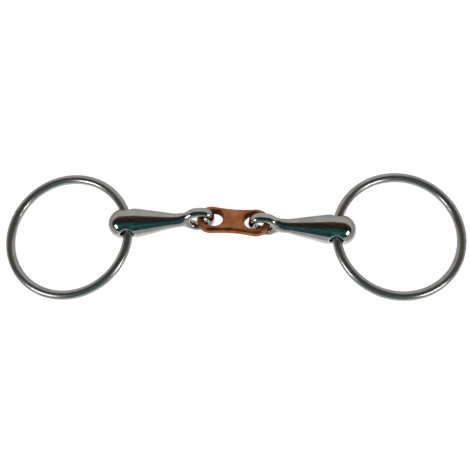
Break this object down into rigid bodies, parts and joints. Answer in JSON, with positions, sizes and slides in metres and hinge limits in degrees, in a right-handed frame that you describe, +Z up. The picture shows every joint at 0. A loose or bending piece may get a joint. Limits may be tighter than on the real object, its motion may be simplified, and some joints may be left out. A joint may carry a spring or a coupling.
{
  "type": "snaffle bit",
  "caption": "Loose ring snaffle bit for a bridle: tapered steel mouthpiece arms joined by a flat copper link, with large round rings that turn in the ends of the arms.",
  "frame": {"origin": "on the surface that the bit lies on, under the middle of the whole bit", "axes": "+X along the mouthpiece from the left ring to the right ring, +Y across it, +Z up from the surface"},
  "size_m": [0.284, 0.086, 0.0186],
  "materials": {
    "ring_steel": "polished stainless steel",
    "cannon_steel": "polished stainless steel",
    "link_copper": "satin copper"
  },
  "bodies": {
    "link": {"french_link": "link_copper"},
    "left_cannon": {"left_cannon": "cannon_steel"},
    "left_ring": {"left_ring": "ring_steel"},
    "right_cannon": {"right_cannon": "cannon_steel"},
    "right_ring": {"right_ring": "ring_steel"}
  },
  "joints": [
    {"name": "left_cannon_fold", "type": "hinge", "parent": "link", "child": "left_cannon", "pos_m": [-0.01954, 0.00978, 0.00817], "axis": [0.0542, 0.9729, -0.225], "range_deg": [-100, 80]},
    {"name": "left_ring_swing", "type": "hinge", "parent": "left_cannon", "child": "left_ring", "pos_m": [-0.06482, 0.0056, 0.00933], "axis": [-0.0941, 0.9956, 0], "range_deg": [-165, 90]},
    {"name": "right_cannon_fold", "type": "hinge", "parent": "link", "child": "right_cannon", "pos_m": [0.0214, 0.00749, 0.00813], "axis": [-0.0542, -0.9729, 0.225], "range_deg": [-100, 80]},
    {"name": "right_ring_swing", "type": "hinge", "parent": "right_cannon", "child": "right_ring", "pos_m": [0.06405, 0.00393, 0.00933], "axis": [-0.0698, -0.9976, 0], "range_deg": [-165, 90]}
  ]
}
